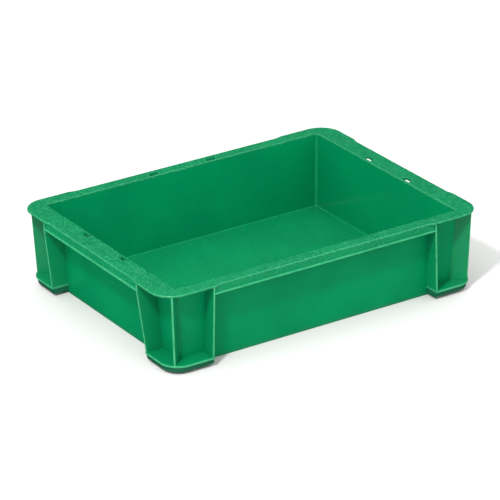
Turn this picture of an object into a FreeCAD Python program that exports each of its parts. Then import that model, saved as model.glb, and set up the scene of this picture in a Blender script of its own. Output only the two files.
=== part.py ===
"""Shallow stacking crate, injection moulded in one piece from polypropylene.

The real crate is a single moulding. Here it is cut along its own features into named
solids that meet face to face: floor, walls, rim, skirts, ribs, ledges and feet.
X runs along the long sides and Y along the ends. The origin is at the centre of the
base, at the level it stands on, and +Z is up. All sizes are in millimetres.
"""

import os

import FreeCAD
import Part
from FreeCAD import Vector

# ---- driving dimensions -------------------------------------------------------------
HEIGHT = 102.0            # base to rim top
SIDE_HALF_X = 220.0       # rim edge on the left and right ends, between the corners
SIDE_HALF_Y = 163.5       # rim edge on the front and rear, between the corners
CORNER_FLARE = 2.3        # how far the rim's corners stand out past its sides
FLARE_RUN = 8.0           # length of the slanted step from side to corner
RIM_CORNER_R = 29.0       # plan radius of the rim's corners
RIM_THICK = 2.5
RIM_EDGE_R = 1.2          # rounding of the rim's outer edge, on top and under its corners
RIM_UNDER_EDGE_R = 0.8

WALL_THICK = 2.3
WALL_TOP_X = 197.2        # outer face of the end walls at the rim's top level
WALL_TOP_Y = 149.7        # outer face of the long walls at the rim's top level
WALL_DRAFT = 0.063        # how far a wall leans in for each millimetre down
TUB_OUTER_R = 6.0         # vertical corners of the tub, outside and inside
TUB_INNER_R = 4.0
FLOOR_TOP = 7.0
FLOOR_THICK = 2.4
FLOOR_FILLET = 1.5
BASE_EDGE_R = 1.0
OPENING_EDGE_R = 1.0      # rounded inner edge of the rim

SKIRT_DROP = 11.7         # rim top to the skirt's lower edge
SKIRT_THICK = 2.3
LIP_OUT = 2.0             # bead along the skirt's lower edge
LIP_TALL = 2.3
LIP_R = 0.8
SKIRT_INTO_RIB = 0.4      # skirt end past the middle of the rib, before the rib is cut from it

RIB_THICK = 2.4
RIB_EDGE_R = 0.9
RIB_BACK = 0.4            # rib's outer edge behind the rim's and the ledge's edges
SIDE_RIB_X_TOP = 153.9    # ribs on the front and rear: under the rim, then at the ledge
SIDE_RIB_X_LEDGE = 156.5
END_RIB_Y_TOP = 105.5     # ribs on the left and right ends
END_RIB_Y_LEDGE = 108.2
CORNER_RIB_BACK = 0.6     # corner web's outer edge behind the rim's and the ledge's edges

LEDGE_TOP = 12.5
LEDGE_THICK = 2.3
LEDGE_HALF_X = 213.5
LEDGE_HALF_Y = 164.6
LEDGE_R = 24.5
LEDGE_EDGE_R = 0.9

FOOT_INSET_TOP = 1.2      # foot face behind the ledge's edge, and it leans in further down
FOOT_INSET_BOTTOM = 2.8
FOOT_BOTTOM = 3.5         # the base reaches this far below the feet, into the crate under it
FOOT_THICK = 2.5
FOOT_EDGE_R = 0.7

SLOT_LONG = 13.0          # slots through the rim, two each on the rear, left and right
SLOT_WIDE = 5.8
SLOT_SPACING = 82.0
SLOT_GAP = 0.3            # slot edge to the wall's outer face

BASE_RIB_THICK = 1.8
BASE_RIB_BOTTOM = 1.0
BASE_RIB_PITCH_X = 60.0
BASE_RIB_PITCH_Y = 55.0

# ---- worked-out levels --------------------------------------------------------------
RIM_UNDER = HEIGHT - RIM_THICK
SKIRT_BOTTOM = HEIGHT - SKIRT_DROP
FLOOR_UNDER = FLOOR_TOP - FLOOR_THICK
LEDGE_UNDER = LEDGE_TOP - LEDGE_THICK
RIM_HALF_X = SIDE_HALF_X + CORNER_FLARE
RIM_HALF_Y = SIDE_HALF_Y + CORNER_FLARE
FLARE_END_X = SIDE_RIB_X_TOP - RIB_THICK / 2
FLARE_END_Y = END_RIB_Y_TOP - RIB_THICK / 2
SIDES = ("front", "rear", "left", "right")
CORNERS = {"front_left": (-1, -1), "front_right": (1, -1), "rear_left": (-1, 1), "rear_right": (1, 1)}
FAR = 400.0               # reaches past the crate, for cutting boxes
OVER = 5.0                # how far a cutting tool runs past what it cuts


def wall_face(top_half, z):
    """Half-width of a wall's outer face at a height."""
    return top_half - WALL_DRAFT * (HEIGHT - z)


def line(p, q):
    return Part.LineSegment(p, q).toShape()


def arc(p, middle, q):
    return Part.Arc(p, middle, q).toShape()


def box(x0, x1, y0, y1, z0, z1):
    return Part.makeBox(x1 - x0, y1 - y0, z1 - z0, Vector(x0, y0, z0))


def corner_arc(centre_x, centre_y, radius, sx, sy, z):
    """Start, middle and end of a rounded corner, from its Y-facing side to its X-facing side."""
    half = radius * 0.5 ** 0.5
    return (
        Vector(centre_x * sx, (centre_y + radius) * sy, z),
        Vector((centre_x + half) * sx, (centre_y + half) * sy, z),
        Vector((centre_x + radius) * sx, centre_y * sy, z),
    )


def rounded_rectangle(half_x, half_y, radius, z):
    """Closed wire of a rounded rectangle about the Z axis."""
    arcs = []
    for sx, sy in ((1, 1), (1, -1), (-1, -1), (-1, 1)):
        points = corner_arc(half_x - radius, half_y - radius, radius, sx, sy, z)
        arcs.append(points if sx * sy > 0 else points[::-1])
    edges = []
    for k, points in enumerate(arcs):
        edges.append(arc(*points))
        edges.append(line(points[2], arcs[(k + 1) % 4][0]))
    return Part.Wire(edges)


def plate(wire, thickness):
    return Part.Face(wire).extrude(Vector(0, 0, thickness))


def drafted_block(top_x, top_y, radius, z0, z1):
    """Block with the walls' draft and rounded vertical corners."""
    wires = [
        rounded_rectangle(wall_face(top_x, z), wall_face(top_y, z), radius, z) for z in (z0, z1)
    ]
    return Part.makeLoft(wires, True, True)


def edges_at(shape, z, keep=lambda point: True):
    """Edges that lie flat at a height, and whose middle passes a test."""
    found = []
    for edge in shape.Edges:
        middle = edge.valueAt((edge.FirstParameter + edge.LastParameter) / 2)
        flat = abs(edge.BoundBox.ZMin - z) < 1e-4 and abs(edge.BoundBox.ZMax - z) < 1e-4
        if flat and keep(middle):
            found.append(edge)
    return found


def wedge(side, z0, z1):
    """Everything nearer to one wall than to its neighbours, split at the tub's corners."""
    cx, cy = WALL_TOP_X - WALL_TOP_Y, 0.0
    far_x, far_y = FAR, FAR - cx
    outlines = {
        "front": [(-cx, cy), (cx, cy), (far_x, -far_y), (-far_x, -far_y)],
        "rear": [(-cx, cy), (cx, cy), (far_x, far_y), (-far_x, far_y)],
        "left": [(-cx, cy), (-far_x, -far_y), (-far_x, far_y)],
        "right": [(cx, cy), (far_x, -far_y), (far_x, far_y)],
    }
    points = [Vector(x, y, z0) for x, y in outlines[side]]
    wire = Part.makePolygon(points + points[:1])
    return Part.Face(wire).extrude(Vector(0, 0, z1 - z0))


# ---- tub: walls, floor and base ------------------------------------------------------
def tub_outside():
    block = drafted_block(WALL_TOP_X, WALL_TOP_Y, TUB_OUTER_R, 0.0, RIM_UNDER)
    return block.makeFillet(BASE_EDGE_R, edges_at(block, 0.0))


def tub_inside(z0, z1):
    return drafted_block(WALL_TOP_X - WALL_THICK, WALL_TOP_Y - WALL_THICK, TUB_INNER_R, z0, z1)


def walls(outside):
    """Four drafted walls, each with its share of the rounded tub corners."""
    hollow = tub_inside(FLOOR_TOP, HEIGHT + OVER)
    hollow = hollow.makeFillet(FLOOR_FILLET, edges_at(hollow, FLOOR_TOP))
    ring = outside.cut(hollow).cut(floor_block()).cut(box(-FAR, FAR, -FAR, FAR, -OVER, FLOOR_UNDER))
    return {f"wall_{side}": ring.common(wedge(side, 0.0, HEIGHT)) for side in SIDES}


def floor_block():
    half_x = wall_face(WALL_TOP_X - WALL_THICK, FLOOR_TOP) - FLOOR_FILLET
    half_y = wall_face(WALL_TOP_Y - WALL_THICK, FLOOR_TOP) - FLOOR_FILLET
    radius = TUB_INNER_R - FLOOR_FILLET
    return plate(rounded_rectangle(half_x, half_y, radius, FLOOR_UNDER), FLOOR_THICK)


def base_rims(outside):
    """Low skirt that carries the walls on down past the floor, to stand on and to nest."""
    inner = tub_inside(-OVER, FLOOR_UNDER)
    ring = outside.common(box(-FAR, FAR, -FAR, FAR, 0.0, FLOOR_UNDER)).cut(inner)
    return {f"base_rim_{side}": ring.common(wedge(side, 0.0, HEIGHT)) for side in SIDES}


def base_ribs():
    """Crossed ribs under the floor, a little short of the base."""
    tall = FLOOR_UNDER - BASE_RIB_BOTTOM
    bars = []
    for k in (-2, -1, 0, 1, 2):
        x = k * BASE_RIB_PITCH_X
        bars.append(box(x - BASE_RIB_THICK / 2, x + BASE_RIB_THICK / 2, -FAR, FAR, 0, tall))
    for k in (-2, -1, 0, 1, 2):
        y = k * BASE_RIB_PITCH_Y
        bars.append(box(-FAR, FAR, y - BASE_RIB_THICK / 2, y + BASE_RIB_THICK / 2, 0, tall))
    grid = bars[0].multiFuse(bars[1:]).removeSplitter()
    grid.translate(Vector(0, 0, BASE_RIB_BOTTOM))
    return grid.common(tub_inside(0.0, FLOOR_UNDER))


# ---- rim ------------------------------------------------------------------------------
def rim_outline(z):
    """Outer edge of the rim: straight sides, and corners that flare out and round off."""
    centre_x, centre_y = RIM_HALF_X - RIM_CORNER_R, RIM_HALF_Y - RIM_CORNER_R
    paths = []
    for sx, sy in ((1, 1), (1, -1), (-1, -1), (-1, 1)):
        start = [
            Vector((FLARE_END_X - FLARE_RUN) * sx, SIDE_HALF_Y * sy, z),
            Vector(FLARE_END_X * sx, RIM_HALF_Y * sy, z),
        ]
        end = [
            Vector(RIM_HALF_X * sx, FLARE_END_Y * sy, z),
            Vector(SIDE_HALF_X * sx, (FLARE_END_Y - FLARE_RUN) * sy, z),
        ]
        curve = corner_arc(centre_x, centre_y, RIM_CORNER_R, sx, sy, z)
        if sx * sy < 0:
            start, end, curve = end[::-1], start[::-1], curve[::-1]
        paths.append((start, curve, end))
    edges = []
    for k, (start, curve, end) in enumerate(paths):
        edges.append(line(start[0], start[1]))
        edges.append(line(start[1], curve[0]))
        edges.append(arc(*curve))
        edges.append(line(curve[2], end[0]))
        edges.append(line(end[0], end[1]))
        edges.append(line(end[1], paths[(k + 1) % 4][0][0]))
    return Part.Wire(edges)


def in_corner(point):
    """True along the thin corners of the rim, where no skirt hangs below it."""
    return abs(point.x) > FLARE_END_X and abs(point.y) > FLARE_END_Y


def rim_ring():
    ring = plate(rim_outline(RIM_UNDER), RIM_THICK)
    ring = ring.makeFillet(RIM_EDGE_R, edges_at(ring, HEIGHT))
    ring = ring.makeFillet(RIM_UNDER_EDGE_R, edges_at(ring, RIM_UNDER, in_corner))
    ring = ring.cut(tub_inside(RIM_UNDER - OVER, HEIGHT + OVER))

    def inner(point):
        return abs(point.x) < WALL_TOP_X and abs(point.y) < WALL_TOP_Y

    return ring.makeFillet(OPENING_EDGE_R, edges_at(ring, HEIGHT, inner))


def slots():
    """Through slots beside the wall's outer face, a pair on every side but the front."""
    near_x, near_y = WALL_TOP_X + SLOT_GAP, WALL_TOP_Y + SLOT_GAP
    far_x, far_y = near_x + SLOT_WIDE, near_y + SLOT_WIDE
    low, high = RIM_UNDER - OVER, HEIGHT + OVER
    tools = []
    for middle in (-SLOT_SPACING / 2, SLOT_SPACING / 2):
        start, end = middle - SLOT_LONG / 2, middle + SLOT_LONG / 2
        tools.append(box(-far_x, -near_x, start, end, low, high))
        tools.append(box(near_x, far_x, start, end, low, high))
        tools.append(box(start, end, near_y, far_y, low, high))
    return tools


def rims():
    """Rim cut into four straight lengths and four corners, where the opening starts to turn."""
    ring = rim_ring()
    for tool in slots():
        ring = ring.cut(tool)
    x = WALL_TOP_X - WALL_THICK - TUB_INNER_R
    y = WALL_TOP_Y - WALL_THICK - TUB_INNER_R
    low, high = RIM_UNDER - OVER, HEIGHT + OVER
    parts = {
        "rim_front": ring.common(box(-x, x, -FAR, 0, low, high)),
        "rim_rear": ring.common(box(-x, x, 0, FAR, low, high)),
        "rim_left": ring.common(box(-FAR, 0, -y, y, low, high)),
        "rim_right": ring.common(box(0, FAR, -y, y, low, high)),
    }
    for name, (sx, sy) in CORNERS.items():
        xs, ys = sorted((sx * x, sx * FAR)), sorted((sy * y, sy * FAR))
        parts[f"rim_corner_{name}"] = ring.common(box(xs[0], xs[1], ys[0], ys[1], low, high))
    return parts


# ---- ribs from the rim down to the ledges ----------------------------------------------
def between(top, ledge, z):
    """Straight run from a value at the rim's underside to a value at the ledge's top."""
    return ledge + (top - ledge) * (z - LEDGE_TOP) / (RIM_UNDER - LEDGE_TOP)


def rib(top_half, along_top, along_ledge, rim_edge, ledge_edge):
    """Upright web on the front wall: flush with the rim, then slanting to the ledge's edge."""
    rim_face = rim_edge - RIB_BACK
    ledge_face = ledge_edge - RIB_BACK
    wires = []
    for z in (LEDGE_TOP, SKIRT_BOTTOM, RIM_UNDER):
        x = between(along_top, along_ledge, z)
        near = -wall_face(top_half, z)
        far = -ledge_face if z == LEDGE_TOP else -rim_face
        low, high = x - RIB_THICK / 2, x + RIB_THICK / 2
        points = [Vector(low, near, z), Vector(high, near, z), Vector(high, far, z), Vector(low, far, z)]
        wires.append(Part.makePolygon(points + points[:1]))
    shape = Part.makeLoft(wires, True, True)
    outer = []
    for edge in shape.Edges:
        ends = [v.Point for v in edge.Vertexes]
        face = min(rim_face, ledge_face) - 0.01
        if all(-p.y > face for p in ends) and abs(ends[0].z - ends[1].z) > 1.0:
            outer.append(edge)
    return shape.makeFillet(RIB_EDGE_R, outer)


def side_ribs():
    """Two ribs on every side, each at the end of the skirt."""
    front = rib(WALL_TOP_Y, SIDE_RIB_X_TOP, SIDE_RIB_X_LEDGE, RIM_HALF_Y, LEDGE_HALF_Y)
    end = rib(WALL_TOP_X, END_RIB_Y_TOP, END_RIB_Y_LEDGE, RIM_HALF_X, LEDGE_HALF_X)
    axis, centre = Vector(0, 0, 1), Vector(0, 0, 0)
    across = Vector(1, 0, 0)
    front_left = front.mirror(centre, across)
    right_front = end.rotated(centre, axis, 90).mirror(centre, Vector(0, 1, 0))
    right_rear = end.rotated(centre, axis, 90)
    return {
        "rib_front_right": front,
        "rib_front_left": front_left,
        "rib_rear_left": front.rotated(centre, axis, 180),
        "rib_rear_right": front_left.rotated(centre, axis, 180),
        "rib_right_front": right_front,
        "rib_right_rear": right_rear,
        "rib_left_rear": right_front.rotated(centre, axis, 180),
        "rib_left_front": right_rear.rotated(centre, axis, 180),
    }


def mirrored(shape, sx, sy):
    """Copies a shape made for the right rear corner to another corner."""
    if sx < 0:
        shape = shape.mirror(Vector(0, 0, 0), Vector(1, 0, 0))
    if sy < 0:
        shape = shape.mirror(Vector(0, 0, 0), Vector(0, 1, 0))
    return shape


def corner_rib_end(z, half_x, half_y, radius):
    """Where a 45 degree line from the tub's corner comes out at a rounded outer corner."""
    offset = (wall_face(WALL_TOP_X, z) - half_x) - (wall_face(WALL_TOP_Y, z) - half_y)
    reach = radius - CORNER_RIB_BACK
    along = (reach ** 2 - offset ** 2 / 2) ** 0.5 / 2 ** 0.5
    return Vector(half_x - radius + along + offset / 2, half_y - radius + along - offset / 2, z)


def corner_rib_line(z):
    """Inner and outer ends of the corner web at a height, for the right rear corner."""
    inner = Vector(wall_face(WALL_TOP_X, z) - OVER, wall_face(WALL_TOP_Y, z) - OVER, z)
    rim = corner_rib_end(RIM_UNDER, RIM_HALF_X, RIM_HALF_Y, RIM_CORNER_R)
    ledge = corner_rib_end(LEDGE_TOP, LEDGE_HALF_X, LEDGE_HALF_Y, LEDGE_R)
    outer = Vector(between(rim.x, ledge.x, z), between(rim.y, ledge.y, z), z)
    return inner, outer


def corner_rib(outside):
    wires = []
    for z in (LEDGE_TOP, RIM_UNDER):
        inner, outer = corner_rib_line(z)
        run = (outer - inner).normalize()
        side = Vector(-run.y, run.x, 0) * (RIB_THICK / 2)
        points = [inner + side, inner - side, outer - side, outer + side]
        wires.append(Part.makePolygon(points + points[:1]))
    shape = Part.makeLoft(wires, True, True)
    reach = wall_face(WALL_TOP_X, LEDGE_TOP) + TUB_OUTER_R
    outer_edges = []
    for edge in shape.Edges:
        ends = [v.Point for v in edge.Vertexes]
        if all(p.x > reach for p in ends) and abs(ends[0].z - ends[1].z) > 1.0:
            outer_edges.append(edge)
    return shape.makeFillet(RIB_EDGE_R, outer_edges).cut(outside)


# ---- skirts ------------------------------------------------------------------------------
def skirt(face_half, wide):
    """Downturned edge of the rim's front side, with a rounded bead along its foot."""
    outer, inner = -face_half, -face_half + SKIRT_THICK
    lip = outer - LIP_OUT
    points = [
        Vector(-wide, inner, RIM_UNDER),
        Vector(-wide, inner, SKIRT_BOTTOM),
        Vector(-wide, lip, SKIRT_BOTTOM),
        Vector(-wide, lip, SKIRT_BOTTOM + LIP_TALL - LIP_OUT * 0.5),
        Vector(-wide, outer, SKIRT_BOTTOM + LIP_TALL),
        Vector(-wide, outer, RIM_UNDER),
    ]
    face = Part.Face(Part.makePolygon(points + points[:1]))
    shape = face.extrude(Vector(2 * wide, 0, 0))
    soft = []
    for edge in shape.Edges:
        ends = [v.Point for v in edge.Vertexes]
        if all(abs(p.y - lip) < 1e-4 for p in ends) and abs(ends[0].x - ends[1].x) > 1.0:
            soft.append(edge)
    return shape.makeFillet(LIP_R, soft)


def skirts(ribs):
    centre, axis = Vector(0, 0, 0), Vector(0, 0, 1)
    front = skirt(SIDE_HALF_Y, SIDE_RIB_X_TOP + SKIRT_INTO_RIB)
    end = skirt(SIDE_HALF_X, END_RIB_Y_TOP + SKIRT_INTO_RIB)
    parts = {
        "skirt_front": front,
        "skirt_rear": front.rotated(centre, axis, 180),
        "skirt_right": end.rotated(centre, axis, 90),
        "skirt_left": end.rotated(centre, axis, 270),
    }
    for name in parts:
        for web in ribs.values():
            parts[name] = parts[name].cut(web)
        parts[name] = max(parts[name].Solids, key=lambda solid: solid.Volume)
    return parts


# ---- ledges and feet ----------------------------------------------------------------------
def ledge_zone(z0, z1):
    """Corner patch from the ribs outward, where the ledge and its foot sit."""
    x = SIDE_RIB_X_LEDGE - RIB_THICK / 2
    y = END_RIB_Y_LEDGE - RIB_THICK / 2
    return box(x, FAR, y, FAR, z0, z1)


def corner_halves(z0, z1):
    """The two sides of the corner web: towards the long wall, and towards the end wall."""
    inner, outer = corner_rib_line(LEDGE_TOP)
    inner.z = outer.z = z0
    run = (outer - inner).normalize()
    side = Vector(-run.y, run.x, 0)
    start, end = inner - run * FAR, outer + run * FAR
    up = Vector(0, 0, z1 - z0)
    halves = {}
    for name, way in (("long_side", side), ("end", side * -1)):
        points = [start, end, end + way * FAR * 2, start + way * FAR * 2]
        halves[name] = Part.Face(Part.makePolygon(points + points[:1])).extrude(up)
    return halves


def ledge(outside):
    shape = plate(rounded_rectangle(LEDGE_HALF_X, LEDGE_HALF_Y, LEDGE_R, LEDGE_UNDER), LEDGE_THICK)
    shape = shape.makeFillet(LEDGE_EDGE_R, edges_at(shape, LEDGE_TOP))
    shape = shape.common(ledge_zone(LEDGE_UNDER - OVER, LEDGE_TOP + OVER))
    return shape.cut(outside)


def foot_block(shrink, z0):
    """Solid under the ledge, leaning in towards its bottom, out to the ledge's ends."""
    wires = []
    for z, inset in ((z0, FOOT_INSET_BOTTOM + shrink), (LEDGE_UNDER, FOOT_INSET_TOP + shrink)):
        x, y, radius = LEDGE_HALF_X - inset, LEDGE_HALF_Y - inset, LEDGE_R - inset
        wires.append(rounded_rectangle(x, y, radius, z))
    block = Part.makeLoft(wires, True, True)
    near_x = SIDE_RIB_X_LEDGE - RIB_THICK / 2 + shrink
    near_y = END_RIB_Y_LEDGE - RIB_THICK / 2 + shrink
    return block.common(box(near_x, FAR, near_y, FAR, -OVER, LEDGE_TOP))


def foot():
    """Upright band set back under the ledge, closed by end faces that run to the wall."""
    shape = foot_block(0.0, FOOT_BOTTOM).cut(foot_block(FOOT_THICK, FOOT_BOTTOM - OVER))
    shape = shape.cut(drafted_block(WALL_TOP_X, WALL_TOP_Y, TUB_OUTER_R, BASE_EDGE_R, SKIRT_BOTTOM))
    radius = LEDGE_R - FOOT_INSET_BOTTOM
    centre_x, centre_y = LEDGE_HALF_X - LEDGE_R, LEDGE_HALF_Y - LEDGE_R

    def outer(point):
        across = max(point.x - centre_x, 0.0)
        along = max(point.y - centre_y, 0.0)
        return (across ** 2 + along ** 2) ** 0.5 > radius - FOOT_THICK / 4

    return shape.makeFillet(FOOT_EDGE_R, edges_at(shape, FOOT_BOTTOM, outer))


def ledges_and_feet(outside):
    parts = {}
    halves = corner_halves(-OVER, HEIGHT)
    whole = {"ledge": ledge(outside), "foot": foot()}
    for kind, shape in whole.items():
        for half, region in halves.items():
            piece = shape.common(region)
            for name, (sx, sy) in CORNERS.items():
                parts[f"{kind}_{name}_{half}"] = mirrored(piece, sx, sy)
    return parts


# ---- the crate -----------------------------------------------------------------------------
def build():
    outside = tub_outside()
    web = corner_rib(outside)
    parts = {"floor": floor_block(), "underside_ribs": base_ribs()}
    parts.update(walls(outside))
    parts.update(base_rims(outside))
    parts.update(rims())
    parts.update(side_ribs())
    for name, (sx, sy) in CORNERS.items():
        parts[f"corner_rib_{name}"] = mirrored(web, sx, sy)
    parts.update(skirts(side_ribs()))
    parts.update(ledges_and_feet(outside))
    return parts


def export(parts):
    os.makedirs("parts", exist_ok=True)
    for name, shape in parts.items():
        solids = shape.Solids
        if len(solids) != 1 or not shape.isValid():
            raise ValueError(f"{name}: {len(solids)} solids, valid {shape.isValid()}")
        solids[0].exportStep(f"parts/{name}.step")
        print(f"{name:34s} {solids[0].Volume / 1000:8.2f} cm3")


export(build())
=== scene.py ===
"""Looks for a shallow stacking crate moulded in green polypropylene.

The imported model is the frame. This script gives the plastic its colour, sheen, grain and
scuffs, and sets a plain studio around it. Lengths are in metres.
"""

import bpy
import math
from mathutils import Matrix, Vector


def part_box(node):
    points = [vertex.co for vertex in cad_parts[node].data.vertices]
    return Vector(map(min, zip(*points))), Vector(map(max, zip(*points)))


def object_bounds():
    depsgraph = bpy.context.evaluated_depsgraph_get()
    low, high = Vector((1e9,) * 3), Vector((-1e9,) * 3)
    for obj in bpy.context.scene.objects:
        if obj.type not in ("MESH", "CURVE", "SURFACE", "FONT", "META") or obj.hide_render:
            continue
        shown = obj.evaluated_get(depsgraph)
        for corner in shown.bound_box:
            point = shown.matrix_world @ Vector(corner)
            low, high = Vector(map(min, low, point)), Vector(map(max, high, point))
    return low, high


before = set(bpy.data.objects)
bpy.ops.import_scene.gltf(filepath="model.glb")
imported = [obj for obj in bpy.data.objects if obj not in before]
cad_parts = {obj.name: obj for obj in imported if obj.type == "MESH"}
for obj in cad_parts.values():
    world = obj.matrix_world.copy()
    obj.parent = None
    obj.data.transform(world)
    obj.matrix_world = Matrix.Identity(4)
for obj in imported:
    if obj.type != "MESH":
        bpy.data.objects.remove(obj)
cad_low, cad_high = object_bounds()

MM = 0.001
CRATE_HEIGHT = cad_high[2] - cad_low[2]


# ---- colour and nodes ---------------------------------------------------------------
def linear(hex_colour):
    """Linear RGBA of an sRGB hex value."""
    channels = [int(hex_colour[k : k + 2], 16) / 255 for k in (1, 3, 5)]
    rgb = [c / 12.92 if c <= 0.04045 else ((c + 0.055) / 1.055) ** 2.4 for c in channels]
    return (*rgb, 1.0)


def add(tree, kind, inputs=None, **settings):
    """Adds a shader node, sets its properties, and fills or links its inputs."""
    node = tree.nodes.new(kind)
    for name, value in settings.items():
        setattr(node, name, value)
    for socket, value in (inputs or {}).items():
        if isinstance(value, bpy.types.NodeSocket):
            tree.links.new(value, node.inputs[socket])
        else:
            node.inputs[socket].default_value = value
    return node


def new_material(name):
    """A material with an empty node tree, and that tree."""
    material = bpy.data.materials.new(name)
    material.use_nodes = True
    material.node_tree.nodes.clear()
    return material, material.node_tree


# ---- plastics ---------------------------------------------------------------------------
# The whole crate is one injection moulding in polypropylene, so every finish below shares
# its dye and differs in how the steel behind it was finished, in the whitening and dust
# that use has left on it, and in the highlight and shade painted into its colour.
DYE = "#008552"
DYE_DEEP = "#007E4E"
WHITENED_AND_HIGHLIGHT = "#48B07C"      # stress-whitened edges where crates chafe and knock, and painted highlight on rounded edges and turns
TEXTURE_HIGH_SHEEN = "#43A478"  # painted sheen on the high spots of an etched texture and painted shade in its low spots
TEXTURE_LOW_SHADE = "#00693F"
DUST_AND_SHADE = "#0E5540"         # dust worked into the feet and base, and on the feet painted shade under the ledges

CLOUD_MM = 70.0           # slow drift of the dye along the flow of the plastic
GRAIN_MM = 1.3            # fine spark-eroded grain, drawn about five times its size to show
SCRATCH_MM = 2.2          # spacing of the hair scratches that change the gloss
TEXTURE_MM = 2.6          # etched leather texture, drawn about three times its size to show
NICK_MM = 9.0             # spacing of the nicks that break up a pale edge of whitening and painted highlight
GRAIN_DEEP_MM = 0.10
POLYPROPYLENE_IOR = 1.49
GLOSS_SPREAD = (-0.04, 0.06)    # how far the scratches move the roughness either way
DUST_AND_SHADE_LEAST = 0.7                # share of the dust and painted shade that is left where it is thinnest
WEAR_AND_HIGHLIGHT_LEAST = 0.55               # share of the whitening and painted highlight that is left between the nicks

# Each pattern shows from the first value of its noise and is full at the second.
CLOUD_SPAN = {"From Min": 0.35, "From Max": 0.65}
DUST_AND_SHADE_SPAN = {"From Min": 0.30, "From Max": 0.60}
NICK_SPAN = {"From Min": 0.30, "From Max": 0.62}
HAIR_SPAN = {"From Min": 0.3, "From Max": 0.7}
LOW_SPAN = {"From Min": 0.50, "From Max": 0.36}
HIGH_SPAN = {"From Min": 0.52, "From Max": 0.68}
SMOOTH = {"interpolation_type": "SMOOTHSTEP"}

# Numbers of a colour mix's sockets: how much of the second colour, the two colours, the result.
SHARE, FIRST, SECOND, MIXED = 0, 6, 7, 2


def moulded_polypropylene(name, roughness, grain, texture=0.0, dust_and_shade=0.0, wear_and_highlight=0.0, wear_and_highlight_mask=None):
    """Moulded polypropylene: an even dye with a faint cloud, and a waxy sheen broken by grain.

    texture is how strong the etched speckle of painted sheen and shade is, dust_and_shade
    how much dust and painted shade sit in it, and wear_and_highlight how pale the edges go,
    by whitening and painted highlight, where wear_and_highlight_mask is 1.
    """
    material, tree = new_material(name)
    place = add(tree, "ShaderNodeNewGeometry").outputs["Position"]

    drift = {"Vector": place, "Scale": 1 / (CLOUD_MM * MM), "Detail": 3.0}
    cloud = add(tree, "ShaderNodeTexNoise", drift).outputs["Fac"]
    share = add(tree, "ShaderNodeMapRange", {"Value": cloud, **CLOUD_SPAN}, **SMOOTH)
    dyes = {SHARE: share.outputs["Result"], FIRST: linear(DYE_DEEP), SECOND: linear(DYE)}
    colour = add(tree, "ShaderNodeMix", dyes, data_type="RGBA").outputs[MIXED]

    hairs = {"Vector": place, "Scale": 1 / (SCRATCH_MM * MM), "Detail": 4.0}
    scratch = add(tree, "ShaderNodeTexNoise", hairs).outputs["Fac"]

    if texture:
        # Etched speckle: painted sheen on the high spots and painted shade in the low ones.
        etching = {"Vector": place, "Scale": 1 / (TEXTURE_MM * MM), "Detail": 1.5, "Roughness": 0.7}
        etched = add(tree, "ShaderNodeTexNoise", etching).outputs["Fac"]
        for span, tone in ((LOW_SPAN, TEXTURE_LOW_SHADE), (HIGH_SPAN, TEXTURE_HIGH_SHEEN)):
            spots = {"Value": etched, **span, "To Min": 0.0, "To Max": texture}
            share = add(tree, "ShaderNodeMapRange", spots, **SMOOTH).outputs["Result"]
            tones = {SHARE: share, FIRST: colour, SECOND: linear(tone)}
            colour = add(tree, "ShaderNodeMix", tones, data_type="RGBA").outputs[MIXED]

    if dust_and_shade:
        # Dust, and on the feet painted shade under the ledges.
        dust = {"Value": scratch, **DUST_AND_SHADE_SPAN, "To Min": DUST_AND_SHADE_LEAST * dust_and_shade, "To Max": dust_and_shade}
        share = add(tree, "ShaderNodeMapRange", dust, **SMOOTH).outputs["Result"]
        tones = {SHARE: share, FIRST: colour, SECOND: linear(DUST_AND_SHADE)}
        colour = add(tree, "ShaderNodeMix", tones, data_type="RGBA").outputs[MIXED]

    if wear_and_highlight_mask:
        # Pale edges: stress-whitening, and painted highlight where rounded edges catch the light.
        nicks = {"Vector": place, "Scale": 1 / (NICK_MM * MM), "Detail": 4.0}
        nick = add(tree, "ShaderNodeTexNoise", nicks).outputs["Fac"]
        wear_and_highlight_span = {"Value": nick, **NICK_SPAN, "To Min": WEAR_AND_HIGHLIGHT_LEAST * wear_and_highlight, "To Max": wear_and_highlight}
        wear_and_highlight_share = add(tree, "ShaderNodeMapRange", wear_and_highlight_span, **SMOOTH).outputs["Result"]
        share = add(tree, "ShaderNodeMath", {0: wear_and_highlight_mask(tree), 1: wear_and_highlight_share}, operation="MULTIPLY")
        tones = {SHARE: share.outputs[0], FIRST: colour, SECOND: linear(WHITENED_AND_HIGHLIGHT)}
        colour = add(tree, "ShaderNodeMix", tones, data_type="RGBA").outputs[MIXED]

    glossiest, dullest = roughness + GLOSS_SPREAD[0], roughness + GLOSS_SPREAD[1]
    matt = {"Value": scratch, **HAIR_SPAN, "To Min": glossiest, "To Max": dullest}
    gloss = add(tree, "ShaderNodeMapRange", matt, **SMOOTH)
    pits = {"Vector": place, "Scale": 1 / (GRAIN_MM * MM), "Detail": 1.0}
    height = add(tree, "ShaderNodeTexNoise", pits).outputs["Fac"]
    relief = {"Height": height, "Strength": grain, "Distance": GRAIN_DEEP_MM * MM}
    plastic = {
        "Base Color": colour,
        "Roughness": gloss.outputs["Result"],
        "Normal": add(tree, "ShaderNodeBump", relief).outputs["Normal"],
        "Metallic": 0.0,
        "IOR": POLYPROPYLENE_IOR,
    }
    surface = add(tree, "ShaderNodeBsdfPrincipled", plastic)
    add(tree, "ShaderNodeOutputMaterial", {"Surface": surface.outputs["BSDF"]})
    return material


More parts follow.
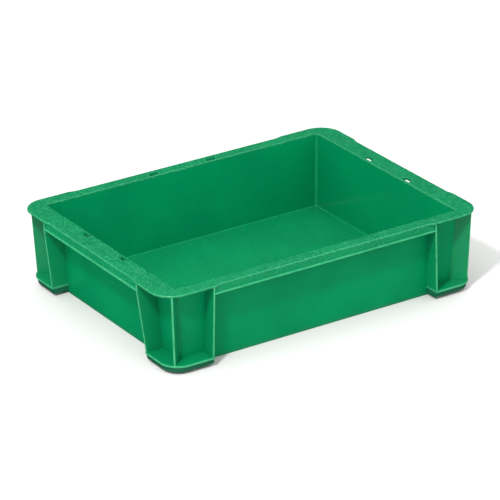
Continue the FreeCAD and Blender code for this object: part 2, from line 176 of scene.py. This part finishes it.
# ---- where edges go pale: whitening and painted highlight ---------------------------------
# Squareness is 1 for a face that looks straight along an axis, and 0 for one side on to it.
OFF_UPRIGHT = {"From Min": 0.12, "From Max": 0.30}   # from an upright face into its rounded edge
OFF_LEVEL = {"From Min": 0.985, "From Max": 0.90}    # from the level top into its rounded edge
TURNING = {"From Min": 0.96, "From Max": 0.86}       # from a flat wall into its rounded turns
FACING = {"From Min": 0.25, "From Max": 0.6}         # from a web's flat sides to its narrow face
UPRIGHT = {"From Min": 0.9, "From Max": 0.6}         # from a ledge's level faces to its edge
UP = (0.0, 0.0, 1.0)
ALONG_X = (1.0, 0.0, 0.0)
ALONG_Y = (0.0, 1.0, 0.0)
SLANT = 0.5 ** 0.5              # a unit step shared between two axes
BEAD_TALL = 2.6 * MM            # how far up the skirt the bead's pale band of whitening and painted highlight reaches
BEAD_FULL = 0.6                 # share of that height below which the pale band is full


def squareness(tree, axis):
    """How squarely the surface looks along an axis of the crate, either way."""
    normal = add(tree, "ShaderNodeNewGeometry").outputs["True Normal"]
    dot = add(tree, "ShaderNodeVectorMath", {0: normal, 1: axis}, operation="DOT_PRODUCT")
    size = add(tree, "ShaderNodeMath", {0: dot.outputs["Value"]}, operation="ABSOLUTE")
    return size.outputs[0]


def rim_edges(tree):
    """The rim's rounded edges, whose faces lean between upright and level, and which go pale with
    stress-whitening and painted highlight.
    """
    up = squareness(tree, UP)
    past_upright = add(tree, "ShaderNodeMapRange", {"Value": up, **OFF_UPRIGHT}, **SMOOTH)
    short_of_level = add(tree, "ShaderNodeMapRange", {"Value": up, **OFF_LEVEL}, **SMOOTH)
    both = {0: past_upright.outputs["Result"], 1: short_of_level.outputs["Result"]}
    return add(tree, "ShaderNodeMath", both, operation="MULTIPLY").outputs[0]


def wall_turns(tree):
    """A wall's rounded corners and its curve into the floor, which catch the light; the mask paints
    a highlight there.
    """
    normal = add(tree, "ShaderNodeNewGeometry").outputs["True Normal"]
    sizes = add(tree, "ShaderNodeVectorMath", {0: normal}, operation="ABSOLUTE").outputs["Vector"]
    axes = add(tree, "ShaderNodeSeparateXYZ", {0: sizes}).outputs
    level = add(tree, "ShaderNodeMath", {0: axes["X"], 1: axes["Y"]}, operation="MAXIMUM")
    most = add(tree, "ShaderNodeMath", {0: level.outputs[0], 1: axes["Z"]}, operation="MAXIMUM")
    turn = {"Value": most.outputs[0], **TURNING}
    return add(tree, "ShaderNodeMapRange", turn, **SMOOTH).outputs["Result"]


def skirt_bead(tree):
    """The bead along a skirt's foot, pale with whitening and painted highlight."""
    place = add(tree, "ShaderNodeNewGeometry").outputs["Position"]
    height = add(tree, "ShaderNodeSeparateXYZ", {0: place}).outputs["Z"]
    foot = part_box("skirt_front")[0].z
    top, full = foot + BEAD_TALL, foot + BEAD_TALL * BEAD_FULL
    band = {"Value": height, "From Min": top, "From Max": full}
    return add(tree, "ShaderNodeMapRange", band, **SMOOTH).outputs["Result"]


def web_edge(axis):
    """The narrow face of a thin web, which looks outward along an axis and goes pale with whitening
    and painted highlight.
    """

    def mask(tree):
        edge = add(tree, "ShaderNodeMapRange", {"Value": squareness(tree, axis), **FACING}, **SMOOTH)
        return edge.outputs["Result"]

    return mask


def ledge_edge(tree):
    """The narrow edge of a level ledge, pale with whitening and painted highlight."""
    side = {"Value": squareness(tree, UP), **UPRIGHT}
    return add(tree, "ShaderNodeMapRange", side, **SMOOTH).outputs["Result"]


# ---- the crate's finishes -----------------------------------------------------------------
def dress(start, material):
    """Gives a finish to every piece whose name begins with start."""
    for name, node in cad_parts.items():
        if name.startswith(start):
            node.data.materials.clear()
            node.data.materials.append(material)


def dress_tub():
    # Stoned steel leaves the walls smooth, so they show soft reflections of each other.
    # Their rounded corners and curve into the floor get a faint painted highlight.
    walls = moulded_polypropylene(
        "stoned_polypropylene_wall", roughness=0.17, grain=0.05, wear_and_highlight=0.12, wear_and_highlight_mask=wall_turns
    )
    dress("wall_", walls)
    # The floor is spark-eroded: a faint speckle of painted sheen and shade, and a duller sheen.
    floor = moulded_polypropylene(
        "eroded_polypropylene_floor", roughness=0.30, grain=0.2, texture=0.12
    )
    dress("floor", floor)
    # The base slides on shelves and other crates, so it is matt and a little dusty.
    base = moulded_polypropylene(
        "scuffed_polypropylene_base", roughness=0.30, grain=0.03, dust_and_shade=0.1
    )
    dress("base_rim", base)
    dress("underside_ribs", base)


def dress_rim():
    # The flange is etched with a leather texture and looks matt; its speckle is painted sheen on the
    # high spots and painted shade in the low ones, and its rounded edges are pale with whitening and
    # painted highlight.
    flange = moulded_polypropylene(
        "etched_polypropylene_rim",
        roughness=0.33,
        grain=0.3,
        texture=0.6,
        wear_and_highlight=0.45,
        wear_and_highlight_mask=rim_edges,
    )
    dress("rim_", flange)
    # The skirt keeps a trace of that painted speckle, and its bead is pale, partly whitened by hands
    # and partly painted highlight.
    apron = moulded_polypropylene(
        "etched_polypropylene_skirt",
        roughness=0.26,
        grain=0.08,
        texture=0.2,
        wear_and_highlight=0.6,
        wear_and_highlight_mask=skirt_bead,
    )
    dress("skirt_", apron)


def dress_ribs():
    # The webs are plain and satin, with pale edges, partly whitened where crates knock side to side
    # and partly painted highlight.
    rising, falling = (SLANT, SLANT, 0.0), (SLANT, -SLANT, 0.0)
    webs = {
        "long_side": (ALONG_Y, ("rib_front", "rib_rear")),
        "end": (ALONG_X, ("rib_left", "rib_right")),
        "rising_corner": (rising, ("corner_rib_front_left", "corner_rib_rear_right")),
        "falling_corner": (falling, ("corner_rib_front_right", "corner_rib_rear_left")),
    }
    for name, (axis, starts) in webs.items():
        satin = moulded_polypropylene(
            f"satin_polypropylene_web_{name}",
            roughness=0.34,
            grain=0.03,
            wear_and_highlight=0.75,
            wear_and_highlight_mask=web_edge(axis),
        )
        for start in starts:
            dress(start, satin)


def dress_feet():
    # Ledges go pale along the edge that lands on the crate below, partly stress-whitened and partly
    # painted highlight.
    ledge = moulded_polypropylene(
        "satin_polypropylene_ledge", roughness=0.34, grain=0.03, wear_and_highlight=0.7, wear_and_highlight_mask=ledge_edge
    )
    dress("ledge_", ledge)
    # The foot bands are matt, and dark partly with the dust they pick up and partly with painted
    # shade under the ledges.
    foot = moulded_polypropylene(
        "dusty_shaded_polypropylene_foot", roughness=0.40, grain=0.03, dust_and_shade=0.85
    )
    dress("foot_", foot)


# ---- studio -----------------------------------------------------------------------------
FLOOR_SIZE = 12.0
FLOOR_PAINT = "#DFDFDE"
FLOOR_ROUGHNESS = 0.9
WHITE = "#FFFFFF"
AIR = 1.32                          # strength of the even light from all round
KEY_WATTS = 58.0
KEY_SIZE = 0.25
KEY_DISTANCE = 3.0
KEY_TURN = math.radians(54.0)       # round from the front towards the left end
KEY_HEIGHT = math.radians(50.0)     # above the floor


def studio_floor():
    """Pale painted floor under the crate."""
    mesh = bpy.data.meshes.new("studio_floor")
    half = FLOOR_SIZE / 2
    corners = [(-half, -half, 0), (half, -half, 0), (half, half, 0), (-half, half, 0)]
    mesh.from_pydata(corners, [], [(0, 1, 2, 3)])
    floor = bpy.data.objects.new("studio_floor", mesh)
    floor.location.z = cad_low[2]
    bpy.context.scene.collection.objects.link(floor)
    material, tree = new_material("pale_floor")
    paint = {"Base Color": linear(FLOOR_PAINT), "Roughness": FLOOR_ROUGHNESS}
    shader = add(tree, "ShaderNodeBsdfPrincipled", paint)
    add(tree, "ShaderNodeOutputMaterial", {"Surface": shader.outputs["BSDF"]})
    mesh.materials.append(material)
    floor.visible_glossy = False


def softbox(name, place, size, watts):
    """Square area light aimed at the middle of the crate."""
    light = bpy.data.lights.new(name, "AREA")
    light.size = size
    light.energy = watts
    lamp = bpy.data.objects.new(name, light)
    lamp.location = place
    middle = Vector((0.0, 0.0, CRATE_HEIGHT / 2))
    lamp.rotation_euler = (middle - Vector(place)).to_track_quat("-Z", "Y").to_euler()
    bpy.context.scene.collection.objects.link(lamp)


def studio_light():
    """Even white light from all round, which gloss doesn't show, and one small key."""
    world = bpy.data.worlds.new("studio_air")
    bpy.context.scene.world = world
    world.use_nodes = True
    world.node_tree.nodes.clear()
    sky = add(world.node_tree, "ShaderNodeBackground", {"Color": linear(WHITE), "Strength": AIR})
    add(world.node_tree, "ShaderNodeOutputWorld", {"Surface": sky.outputs["Background"]})
    world.cycles_visibility.glossy = False
    level = math.cos(KEY_HEIGHT) * KEY_DISTANCE
    rise = math.sin(KEY_HEIGHT) * KEY_DISTANCE
    key = (-math.sin(KEY_TURN) * level, -math.cos(KEY_TURN) * level, rise)
    softbox("key", key, KEY_SIZE, KEY_WATTS)


# The camera looks along +Y, turned towards +X and down, from a long way off.
YAW = math.radians(32.38)
PITCH = math.radians(24.12)
ROLL = math.radians(1.12)
CAMERA_DISTANCE = 4.057
LENS_MM = 246.7
SENSOR_MM = 36.0
FAR_CLIP = 50.0
AIM = Vector((-0.0196, -0.0295, CRATE_HEIGHT - 0.040))


def camera():
    """A long lens held a little out of level, as the angles above say."""
    look = Vector((
        math.sin(YAW) * math.cos(PITCH),
        math.cos(YAW) * math.cos(PITCH),
        -math.sin(PITCH),
    ))
    right = Vector((math.cos(YAW), -math.sin(YAW), 0.0))
    down = look.cross(right)
    across = right * math.cos(ROLL) + down * math.sin(ROLL)
    up = -(down * math.cos(ROLL) - right * math.sin(ROLL))
    turn = Matrix((across, up, -look)).transposed().to_4x4()
    lens = bpy.data.cameras.new("camera")
    lens.lens = LENS_MM
    lens.sensor_width = SENSOR_MM
    lens.clip_end = FAR_CLIP
    view = bpy.data.objects.new("camera", lens)
    view.matrix_world = Matrix.Translation(AIM - look * CAMERA_DISTANCE) @ turn
    bpy.context.scene.collection.objects.link(view)
    bpy.context.scene.camera = view


dress_tub()
dress_rim()
dress_ribs()
dress_feet()
studio_floor()
studio_light()
camera()
bpy.context.scene.view_settings.view_transform = "Standard"
